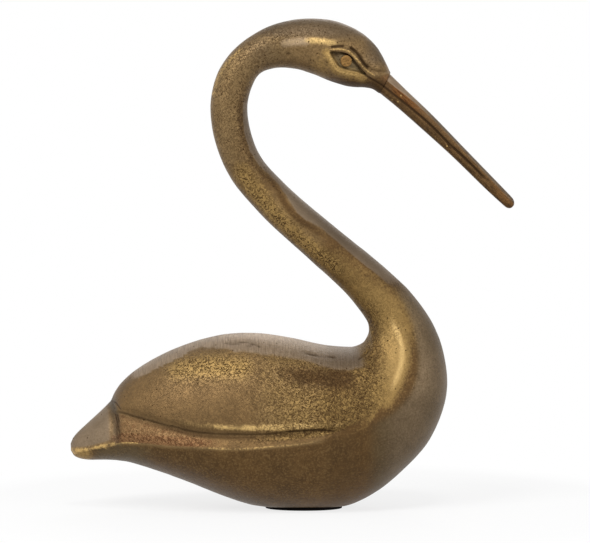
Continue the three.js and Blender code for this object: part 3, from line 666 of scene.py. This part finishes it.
def carve(piece, turn, box):
    """Carves one half and returns what the painting needs."""
    points, on_skin, normals, edges = outer_skin(piece.data, turn)
    inside = sink_recess(points, on_skin)
    facing = averaged(normals, edges, FACING_ROUNDS)
    joint = on_skin & (points[:, 1] < 0.02)
    facing[joint, 1] = 0
    facing /= np.maximum(np.linalg.norm(facing, axis=1, keepdims=True), 1e-9)
    move, groove, ridge = cut_lines(points, CUTS)
    from_groove, over_groove, _, _ = near_line(points, WING_GROOVE)
    from_chine, over_chine, _, _ = near_line(points, CHINE)
    up_the_flank = from_chine / (from_groove + from_chine)
    flank = step(from_groove * over_groove, 0.25, -0.35) * (over_chine > 0) * up_the_flank ** 1.4
    move -= FLANK_DEPTH * flank * step(points[:, 0], -76, -66) * step(-points[:, 0], -17, -4)
    for middle_x, middle_z, reach, amount in FULLER:
        move += amount * spot(points, middle_x, middle_z, reach)
    behind_root = (ROOT_POINT - points) @ ROOT_FACING
    move -= RIM_ROUNDING * step(behind_root, 1.6, 0) * (behind_root > -0.4) * step(points[:, 2], 179.8, 181.6)
    in_recess = inside > -0.5
    move += sum(height * waves(points, size, seed) for height, size, seed in UNEVENNESS) * ~in_recess
    move *= on_skin * step(points[:, 2], 1, 4)
    moved = points + facing * move[:, None]
    moved[:, 1] = np.where(joint, 0, np.maximum(moved[:, 1], 0))
    low, high = box
    moved = np.clip(moved * turn, np.array(low) / MM, np.array(high) / MM)
    piece.data.vertices.foreach_set("co", (moved * MM).ravel())
    piece.data.update()
    return {"points": moved * turn, "facing": facing, "groove": groove, "ridge": ridge, "recess": inside}


carved = {}
for side, turn in SIDES.items():
    carved[side] = carve(castings[side], turn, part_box(side + "_half"))
print("castings carved")

# %% [markdown]
# ## Painting where the brass has aged
#
# Old brass isn't one colour. Hands and cloths keep the ridges golden, dirt stays in the grooves, and the grinder left
# two greyish bands along the joint. Light and shade are painted too: the jaw and the underside are dark with painted
# shade, the breast is darker, and more painted shade lies on the wing and under its edge, in the tail's crease, in
# the hollows and in the eye's recess. Painted highlights lie on the breast, the crown, the wing's lip and the neck's
# rim. Each is painted on the skin as a number from 0 to 1, with the same lines as the carving. The material below
# reads the numbers and adds the fine grain. Painting by code keeps the paint exactly on the carved lines.

# %% Painting helpers


def paint(piece, layers):
    """Writes each layer to the piece as an attribute with one value per point."""
    for name, values in layers.items():
        layer = piece.data.attributes.new(name, "FLOAT", "POINT")
        layer.data.foreach_set("value", np.asarray(values, dtype=np.float32))


def signed(points, line):
    distance, above, _, _ = near_line(points, line)
    return distance * above


def band_along(points, line, reach, fade, edge):
    """1 from the line up to this far above it, with a soft edge and soft ends, and the place along the line."""
    distance, above, along, length = near_line(points, line)
    ends = both_ends(along, length, fade, fade)
    return step(distance * above, -edge, edge) * step(distance, reach, reach * 0.7) * ends, along


def along_line(points, line, width, fade):
    """1 on the line, soft beside it and towards both of its ends."""
    distance, _, along, length = near_line(points, line)
    return bell(distance, width) * both_ends(along, length, fade, fade)


def strongest(*layers):
    return np.maximum.reduce(layers)


print("painting helpers ready")

# %% Painted layers


def aged_layers(carving):
    """All painted layers of one half: the strength of each, from 0 to 1, at every point."""
    points, facing, inside = carving["points"], carving["facing"], carving["recess"]
    x, y, z = points.T
    wobble = waves(points, 11, 11) * 0.6 + waves(points, 3.5, 12) * 0.3
    chine = signed(points, CHINE)
    hull = signed(points, HULL_LINE)
    groove_low = signed(points, WING_GROOVE)
    crease = near_line(points, TAIL_CREASE)[0]
    body = step(z, 92, 80)

    # The ground bands, and the pale top of the tail and the head; the pale streak on the crown and the sheen on the
    # neck are painted highlights
    shifted = points + np.outer(wobble, (0, 0, 1))
    back, _ = band_along(shifted, BACK_BAND, 34, 6, 1.7)
    back = back * step(z, 76, 71) * step(x, -74, -66)
    throat, throat_along = band_along(shifted, THROAT_BAND, 15, 8, 0.8)
    throat = throat * step(z, 80, 104)
    tail_top = step(x, -75.5, -78) * step(signed(points, TAIL_EDGE), 0.6, 2.2) * step(crease, 1.2, 4.5)
    crown = step(z, 193, 198) * step(x, -26, -12)
    pale = along_line(points, CROWN_PALE, 1.8, 4)
    neck_back = step(z, 125, 145) * step(x, 8, -12)
    bill_root = step(x, 33.5, 36) * step(z, 179.8, 181.2)
    hull_front = step(hull, 0, -5) * step(x, 24, 42) * step(z, 98, 88)
    ground = strongest(back, 0.9 * throat, 0.65 * tail_top, 0.25 * crown, 0.95 * pale, 0.55 * bill_root,
                       0.15 * along_line(points, NECK_SHEEN, 2.2, 4), 0.18 * neck_back, 0.4 * hull_front)
    forehead = step(x, 23, 31) * step(z, 182, 187)
    # A duller, darker tone; on the crook and along the tail's crease it is painted shade
    dull = strongest(0.85 * throat, 0.95 * crown, 0.95 * forehead, 0.85 * back * step(x, -24, 24),
                     0.45 * tail_top, 0.7 * bell(crease, 3.5) * step(x, -74, -76),
                     0.6 * spot(points, -16.5, 192, 8))

    # The flank below the wing
    flank = step(groove_low, 0.2, -1.4) * step(chine, -0.2, 0.8)
    rim = 0.7 * step(x, 30, 36.5) * step(signed(points, HEAD_MOUTH), 0.2, 0.8) * step(z, 181, 179.5)
    red = flank * step(x, -82, -74) * step(x, -26, -48) * (0.5 + 0.5 * step(chine, 4.6, 2.8)) + rim
    under_wing = step(groove_low, 0.35, 0) * step(groove_low, -3.3, -1.3) * step(x, -76.5, -73)
    under_wing = under_wing * (0.48 + 0.17 * step(x, -64, -50) - 0.2 * step(x, -46, -10))
    under_wing = under_wing * step(x, 16, 2)

    # The jaw with painted shade, and the darker breast and foot of the neck
    jaw = step(z, 180.5, 178) * step(x, 2, 12) * step(z, 150, 165)
    front = step(x, 2, 15) * step(z, 150, 130)

    # Dirt in the grooves, and painted shade under the wing's edge, in the rear corner of the recess, under the lid,
    # at the forehead's step, beside the throat band, in the hollow under the back band and on the jaw; the breast is
    # darker
    recess = step(inside, -0.2, 0.3)
    rear_corner = recess * spot(points, 14.6, 189, 1.6)
    under_lid = step(inside, 0, 0.3) * step(inside, 1.2, 0.5) * step(z + 0.45 * x, 191, 194.5)
    beside_band = bell(signed(points, THROAT_BAND) + 2, 2) * step(z, 104, 118) * step(z, 176, 168)
    dark = strongest(carving["groove"], 0.35 * bell(crease, 1.9), under_wing, 0.8 * rear_corner,
                     0.7 * under_lid, 0.4 * beside(points, FOREHEAD_STEP, 0.8), 0.38 * beside_band,
                     0.35 * beside(points, BAND_HOLLOW, 3.5) * step(x, -14, 2),
                     0.55 * jaw * step(z, 179, 177), 0.32 * front)

    # Gold where hands and cloths rub, with painted highlight on the wing's lip, the chine and the neck's rim
    tail_gold = beside(points, TAIL_EDGE, 1.5 + 0.6 * wobble) * step(x, -71, -79)
    tail_gold = tail_gold * (0.85 + 0.5 * waves(points, 2.6, 14))
    chine_gold = beside(points, CHINE, 0.55) * step(x, -46, -34) * step(-x, -16, 0)
    lip_highlight = beside(points, WING_LIP, 1.5 + 0.5 * wobble) * step(x, -62, -16) * step(-x, -26, -14)
    lip_highlight = lip_highlight * (0.74 + 0.3 * waves(points, 5, 13)) * (0.95 - 0.5 * step(x, -2, 12))
    gold = strongest(carving["ridge"], 0.7 * tail_gold, 0.6 * beside(points, TAIL_LINE, 0.45), 0.62 * chine_gold,
                     lip_highlight, 0.3 * beside(points, NECK_RIDGE, 1.4), 0.5 * beside(points, NECK_RIM, 1.3))
    # Painted highlights: the streak down the breast with soft light beside it, the crown and the wing's lip
    streak, streak_side, streak_along, streak_length = near_line(points, BREAST_STREAK)
    streak_ends = both_ends(streak_along, streak_length, 9, 12)
    beside_streak = bell(streak, np.where(streak_side > 0, 4.2, 14)) * step(streak_along, 0, 9)
    painted_highlight = strongest(0.85 * bell(streak, 1.4) * streak_ends, along_line(points, CROWN_LIGHT, 1.3, 8),
                     0.3 * pale, 0.9 * lip_highlight, 0.3 * beside_streak * streak_ends)

    # Warm rubbed brass with the casting grain: pits, winding marks and pinholes. Part of the warm tone is painted
    # light:
    # the lit patch on the wing, the soft light beside the breast's highlight and the lifted foot of the neck
    neck_warm = beside(points, NECK_WARM, 10)
    patch = beside(points, WING_GOLD, 7)
    neck = beside(points, NECK_GOLD, 4.8) * step(near_line(points, THROAT_BAND)[0], 1.5, 3.5)
    # The hollow under the back band, which gets painted shade
    hollow = beside(points, BAND_HOLLOW, 4.5) * step(x, 27, 15) * step(x, -14, 2)
    tip = step(x, -83, -89) * step(z, 27, 24)
    coarse = step(x, -36, 2) * step(-x, -40, -28) * step(hull, 0.5, 3) * body
    cheek = bell(np.hypot(x - 9, (z - 184.5) * 0.8), 6) * (inside < 0)
    warm = strongest(0.8 * patch, 0.95 * neck, 0.5 * cheek, 0.95 * beside_streak, 0.7 * tip, 0.28 * neck_back,
                     (0.62 + 0.3 * step(z, 97, 86)) * neck_warm, 0.62 * coarse * (1 - hollow),
                     0.9 * beside(points, RECESS_RIM, 2.4))
    head = step(z, 172, 180) * step(x, -22, -8) * (inside < 0)
    pits = strongest(patch, 0.25 * red, 0.25 * head, 0.95 * coarse, 0.6 * beside(points, BROW_FRONT, 3),
                     0.45 * neck_back)
    worms = strongest(neck, 0.6 * coarse * (1 - back), 0.45 * neck_warm)
    head_back = step(x, 22, 10) * step(z, 150, 176) * (inside < 0)
    pinholes = strongest(0.75 * head_back, 0.5 * beside_streak, 0.35 * step(z, 110, 125),
                         0.3 * body * step(hull, 0, 2))

    # Shade and green on what faces down or lies low
    below = step(hull, 0.5, -2 - 2.5 * step(x, 20, 40)) * step(z, 98, 88)
    wing = 0.52 * body * step(groove_low, -1, 2) * (1 - patch) * step(x, -4, -24)
    downward = step(-facing[:, 2], 0.3, 0.8) * step(z, 60, 80) * (0.75 - 0.35 * step(z, 150, 176))
    inner_crook = step(x, -30, -23) * step(-x, -2, 6) * step(z, 182, 174) * step(z, 118, 136)
    shade = strongest(below * (1 - 0.95 * step(x, 16, 40)), wing, 0.6 * flank * step(x, -48, -36),
                      0.75 * bell(crease, 3.2) * step(x, -74, -76), downward * step(x, 30, 12),
                      jaw, front, 0.6 * inner_crook, beside_band, 0.95 * hollow)
    green = strongest(0.8 * recess, 0.8 * bell(crease, 2.6), 0.6 * below * step(x, 22, 34),
                      0.2 * below * step(x, 30, 20), 0.6 * below * step(x, -52, -70) * (1 - tip),
                      0.45 * tail_top, 0.3 * neck_back)

    # Where along and across the grinder's strokes each point lies
    chiselled = red > 0.02
    stroke = np.where(z > 80, throat_along, np.where(chiselled, 0.42 * (x + 0.7 * z), x))
    stroke_long = np.where(chiselled, 0.22 * (z - 0.7 * x), 0.08 * y)
    return dict(ground=ground, brushed=np.maximum(back, 0.2 * throat), stroke=stroke * MM,
                stroke_long=stroke_long * MM, red=red, dark=dark, gold=gold, painted_highlight=painted_highlight, warm=warm, pits=pits,
                worms=worms, pinholes=pinholes, shade=shade, green=green, dull=dull)


for side in SIDES:
    layers = aged_layers(carved[side])
    paint(castings[side], layers)
print("painted layers:", sorted(layers))

# %% [markdown]
# ## The bill and the pad
#
# The bill is one solid casting. Its mouth line is cut in, its upper edge is ground and greyish, partly with a painted
# reflection, and its root is drawn back against the head, because the braze fills the gap there. The pad is felt, cut
# to the oval of the flat under the body: a cylinder drawn out to that oval, with a soft edge.

# %% Bill
BILL_CUTS = [
    (MOUTH, 0.46, 0.34, 0.1, 8, 1),
    (MOUTH_HOOK, 0.3, 0.25, 0.3, 0.3, 0.9),
    (BILL_FACET, 0.5, -0.08, 2, 6, 0),
]
BILL_SPECKS = [(41.4, 171.5), (37.7, 169.9), (40.2, 169), (60.4, 150.6)]
BILL_START, BILL_LENGTH = 36.0, 50.0
ALONG_BILL = np.array([0.719, 0.0, -0.695])
ACROSS_BILL = np.array([0.695, 0.0, 0.719])
# How far the root stands clear of the head in the construction, and how far it is drawn back, in mm
ROOT_CLEAR, ROOT_DRAWN_BACK = 0.3, 0.31


def finish_bill(piece):
    """Carves the bill, draws its root back and returns its painted layers."""
    points = read(piece.data.vertices, "co", 3) / MM
    side = np.sign(points[:, 1])
    sided = points.copy()
    sided[:, 1] = np.abs(sided[:, 1])
    move, groove, _ = cut_lines(sided, BILL_CUTS)
    points[:, 1] += side * move * step(sided[:, 1], 0.3, 1)
    root = np.abs((points - ROOT_POINT) @ ROOT_FACING - ROOT_CLEAR) < 0.08
    points[root] -= ROOT_FACING * ROOT_DRAWN_BACK
    piece.data.vertices.foreach_set("co", (points * MM).ravel())
    piece.data.update()
    mouth = signed(sided, MOUTH)
    length = (points[:, 0] - BILL_START) / BILL_LENGTH
    top = step(signed(sided, BILL_FACET), -0.35, 0.25) * step(points[:, 0], 34, 36)
    return {
        # The grey of the upper edge is ground brass and partly a painted reflection, lightest near the root
        "ground": top * step(length, 1.25, 0.7),
        "dull": top * (0.25 + 0.75 * step(length, 0.1, 0.5)),
        "brushed": np.full(len(points), 0.3),
        "stroke": (points - ROOT_POINT) @ ACROSS_BILL * 0.7 * MM,
        "stroke_long": (points - ROOT_POINT) @ ALONG_BILL * 0.1 * MM,
        "streaks": 0.9 * step(mouth, 0.3, -0.3) + 0.5 * step(length, 0.3, 0.6),
        "red": strongest(step(mouth, -0.2, 0.6) * step(length, 0.38, 0.1) * step(length, -0.02, 0.1),
                         0.4 * step(length, 0.7, 0.95)),
        "dark": groove,
        "gold": strongest(*[spot(points, at_x, at_z, 0.35) for at_x, at_z in BILL_SPECKS]),
        "shade": strongest(0.6 * step(mouth, 0.2, -0.5), 0.5 * step(length, 0.3, 0.6)),
    }


bill_layers = finish_bill(bill)
paint(bill, bill_layers)
print("painted layers of the bill:", sorted(bill_layers))

# %% Felt pad
PAD_EDGE = 0.22 * MM
PAD_SIDES = 96
pad_low, pad_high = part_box("base_pad")
pad_middle = (pad_low + pad_high) / 2
pad_size = pad_high - pad_low

bpy.ops.object.select_all(action="DESELECT")
bpy.ops.mesh.primitive_cylinder_add(vertices=PAD_SIDES, radius=0.5, depth=1.0, location=(0.0, 0.0, 0.0))
pad = bpy.context.object
pad.name = "felt_pad"
bpy.ops.object.mode_set(mode="EDIT")
bpy.ops.mesh.select_all(action="SELECT")
bpy.ops.transform.resize(value=pad_size, center_override=(0.0, 0.0, 0.0))
bpy.ops.transform.translate(value=pad_middle)
bpy.ops.object.mode_set(mode="OBJECT")
edge = pad.modifiers.new("soft_edge", "BEVEL")
edge.width = PAD_EDGE
edge.segments = 3
edge.limit_method = "ANGLE"
bpy.ops.object.modifier_apply(modifier=edge.name)
bpy.ops.object.shade_smooth_by_angle(angle=math.radians(60))
print("felt pad, mm:", [round(size / MM, 1) for size in pad_size])

# %% [markdown]
# ## The look of aged brass
#
# One material does both castings: a brown patina that drifts between two tones, with the painted layers on top. The
# grain breaks each layer up, so that no edge of the paint looks drawn. It also moves the roughness and gives the
# sandy relief, and the ground bands get fine strokes. Relief this fine is in the material alone, because as geometry
# it would need millions of faces.

# %% Brass helpers
PINHOLE_SPACING = 2.1 * MM
STROKE_SIZE = 0.55 * MM
VEIN_EDGE = 0.012


def ragged(tree, layer, grain, low, high, amount):
    """A painted layer with its edge broken up by the grain."""
    spread = times(tree, calc(tree, "SUBTRACT", grain, 0.5), amount)
    return ramp(tree, calc(tree, "ADD", painted(tree, layer), spread), low, high)


def two_tones(tree, value, low, high, first, second):
    """A colour that goes from the first tone to the second as the value goes from low to high."""
    return blend(tree, ramp(tree, value, low, high), srgb(*first), srgb(*second))


def coats(tree, colour, *layers):
    """Lays tones over the colour one by one, each where its share is, and at most this strongly."""
    for share, strength, tone in layers:
        if strength < 1:
            share = times(tree, share, strength)
        colour = blend(tree, share, colour, tone)
    return colour


def relief(tree, height, depth, under=None):
    """Adds small relief of this depth in metres over the relief that is already there."""
    sockets = {"Height": height, "Distance": depth}
    if under is not None:
        sockets["Normal"] = under
    return make(tree, "ShaderNodeBump", sockets)


def vein(tree, value, width):
    """Thin winding lines, where a noise passes its middle value."""
    off = calc(tree, "ABSOLUTE", calc(tree, "SUBTRACT", value, 0.5))
    return ramp(tree, off, width, VEIN_EDGE)


def pinhole_marks(tree, place, share):
    """Round pinholes about half a millimetre wide: the larger the share, the more of them."""
    cells = tree.nodes.new("ShaderNodeTexVoronoi")
    fill(tree, cells.inputs["Vector"], place)
    cells.inputs["Scale"].default_value = 1 / PINHOLE_SPACING
    lot = calc(tree, "ADD", cells.outputs["Color"], share)
    return times(tree, ramp(tree, cells.outputs["Distance"], 0.19, 0.09), ramp(tree, lot, 0.92, 1))


def across_strokes(tree):
    """Noise drawn out across the grinding direction: fine along the band and long across it."""
    joined = make(tree, "ShaderNodeCombineXYZ", {0: painted(tree, "stroke"), 1: painted(tree, "stroke_long")})
    return noise(tree, joined, STROKE_SIZE, 3, 0.65)


print("brass helpers ready")

# %% Aged brass
METALLIC = 0.8


def aged_brass(name, dark_patina, light_patina, red_tone):
    """Old brass, from the two tones of its patina and the tone of its reddish places."""
    material, tree, shader, place = start_material(name)
    clouds = noise(tree, place, 16 * MM, 4, 0.6)
    blotches = noise(tree, place, 4.5 * MM, 4, 0.62)
    grain = noise(tree, place, 0.85 * MM, 3, 0.68)
    dust = noise(tree, place, 0.32 * MM, 2, 0.6)
    worms = noise(tree, place, 1.5 * MM, 2, 0.5, 1.1)
    wide_worms = noise(tree, place, 2.6 * MM, 2, 0.55, 1.3)
    strokes = across_strokes(tree)
    mixed = calc(tree, "ADD", times(tree, clouds, 0.25), times(tree, blotches, 0.35))
    mixed = calc(tree, "ADD", mixed, times(tree, grain, 0.4))

    # Where each painted layer shows, with its edge broken up
    shade = ragged(tree, "shade", grain, 0, 1, 0.3)
    green = ragged(tree, "green", blotches, 0.1, 0.9, 0.5)
    red = ragged(tree, "red", grain, 0.1, 0.9, 0.7)
    chisel = times(tree, red, ramp(tree, strokes, 0.49, 0.41))
    rubbed = blend(tree, painted(tree, "worms"), grain, wide_worms, "FLOAT")
    warm = ragged(tree, "warm", rubbed, 0.15, 0.95, 1)
    brushed = painted(tree, "brushed")
    ground = ragged(tree, "ground", blend(tree, brushed, grain, strokes, "FLOAT"), 0.1, 0.9, 0.6)
    fine_strokes = blend(tree, brushed, clouds, strokes, "FLOAT")
    gold = ragged(tree, "gold", grain, 0.25, 0.8, 1.1)
    streaks = calc(tree, "MULTIPLY", painted(tree, "streaks"), ramp(tree, strokes, 0.5, 0.36), clamp=True)
    painted_highlight = ragged(tree, "painted_highlight", grain, 0.05, 0.95, 0.3)
    dark = ragged(tree, "dark", grain, 0.1, 0.95, 0.4)

    # Pits: thin winding lines and grains, few of them where the brass was ground, and pinholes
    specks = ramp(tree, grain, 0.42, 0.32)
    fine_share = calc(tree, "ADD", times(tree, painted(tree, "pits"), 0.8), 0.2, clamp=True)
    fine = times(tree, calc(tree, "MAXIMUM", vein(tree, worms, 0.05), specks), fine_share)
    wide = times(tree, calc(tree, "MAXIMUM", vein(tree, wide_worms, 0.055), specks), painted(tree, "worms"))
    kept = calc(tree, "SUBTRACT", 1, times(tree, ground, 0.75))
    pits = times(tree, calc(tree, "MAXIMUM", fine, wide), kept)
    pits = calc(tree, "MAXIMUM", pits, pinhole_marks(tree, place, painted(tree, "pinholes")))

    # The tones, from the lowest coat to the top one
    colour = coats(
        tree, two_tones(tree, mixed, 0.34, 0.66, dark_patina, light_patina),
        # Painted shade
        (shade, 1, two_tones(tree, mixed, 0.33, 0.67, (73, 55, 33), (101, 75, 43))),
        (times(tree, shade, ramp(tree, grain, 0.5, 0.64)), 0.55, srgb(120, 96, 62)),
        (green, 0.65, srgb(88, 80, 60)),
        (red, 0.8, srgb(*red_tone)),
        (chisel, 0.8, srgb(80, 50, 28)),
        # Warm brass, partly painted light
        (warm, 0.85, srgb(160, 130, 78)),
        (ground, 0.85, two_tones(tree, fine_strokes, 0.3, 0.7, (124, 107, 88), (158, 138, 115))),
        # Gold of wear, partly painted highlight
        (gold, 1, srgb(200, 165, 104)),
        # A duller tone, partly painted shade
        (painted(tree, "dull"), 0.72, srgb(84, 72, 58)),
        (streaks, 0.7, srgb(62, 44, 25)),
        # Painted highlights
        (painted_highlight, 1, srgb(208, 174, 114)),
        (pits, 1, srgb(70, 50, 27)),
        # Dirt and painted shade
        (dark, 0.88, srgb(58, 41, 22)))
    fill(tree, shader.inputs["Base Color"], colour)

    # Gloss, and the relief in mm: the sand's grain, dust, pits with chisel marks, and the grinder's strokes
    shader.inputs["Metallic"].default_value = METALLIC
    rough = calc(tree, "ADD", 0.36, times(tree, grain, 0.16))
    rough = calc(tree, "ADD", rough, times(tree, calc(tree, "MAXIMUM", dark, pits), 0.25))
    fill(tree, shader.inputs["Roughness"], rough)
    coarse = calc(tree, "MAXIMUM", painted(tree, "pits"), painted(tree, "worms"))
    sandiness = calc(tree, "ADD", 0.45, times(tree, coarse, 0.55))
    unmarked = calc(tree, "SUBTRACT", 1, calc(tree, "MAXIMUM", pits, chisel))
    scored = times(tree, strokes, times(tree, ground, brushed))
    normal = None
    for height, depth in ((times(tree, grain, sandiness), 0.22), (dust, 0.04), (unmarked, 0.12), (scored, 0.05)):
        normal = relief(tree, height, depth * MM, normal)
    fill(tree, shader.inputs["Normal"], normal)
    return material


body_brass = aged_brass("aged_brass", (106, 85, 56), (138, 112, 76), (117, 84, 55))
bill_brass = aged_brass("bill_brass", (86, 64, 40), (108, 82, 53), (120, 79, 41))
print("nodes of the castings' brass:", len(body_brass.node_tree.nodes))

# %% Eyes and felt


def turned_brass(name):
    """Worn bright brass of the eye discs, with a fine grain."""
    material, tree, shader, place = start_material(name)
    grain = noise(tree, place, 0.8 * MM, 3.0, 0.65)
    fill(tree, shader.inputs["Base Color"], two_tones(tree, grain, 0.35, 0.62, (104, 77, 43), (150, 114, 66)))
    shader.inputs["Metallic"].default_value = METALLIC
    shader.inputs["Roughness"].default_value = 0.42
    fill(tree, shader.inputs["Normal"], relief(tree, grain, 0.06 * MM))
    return material


def black_felt(name):
    """Short matted fibres: a rough surface with a fine uneven nap."""
    material, tree, shader, place = start_material(name)
    nap = noise(tree, place, 0.25 * MM, 4.0, 0.7)
    fill(tree, shader.inputs["Base Color"], blend(tree, nap, srgb(16, 15, 15), srgb(44, 42, 42)))
    shader.inputs["Roughness"].default_value = 0.95
    shader.inputs["Specular IOR Level"].default_value = 0.1
    fill(tree, shader.inputs["Normal"], relief(tree, nap, 0.2 * MM))
    return material


eye_brass = turned_brass("eye_brass")
for piece in castings.values():
    piece.data.materials.append(body_brass)
bill.data.materials.append(bill_brass)
for piece in studs.values():
    piece.data.materials.append(eye_brass)
pad.data.materials.append(black_felt("felt"))
print("materials:", sorted(material.name for material in bpy.data.materials))

# %% [markdown]
# ## Pieces and bodies
#
# Nothing on this bird moves, so every piece rides on one body. Each visual piece takes the place of a construction
# node, which is hidden.

# %% Join with the construction


def stands_for(piece, node, smooth_angle=50):
    only(piece)
    bpy.ops.object.shade_smooth_by_angle(angle=math.radians(smooth_angle))
    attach(piece, BODY)
    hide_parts(node)


for side in SIDES:
    stands_for(castings[side], side + "_half")
    stands_for(studs[side], side + "_eye_stud", 35)
stands_for(bill, "bill")
stands_for(pad, "base_pad", 60)
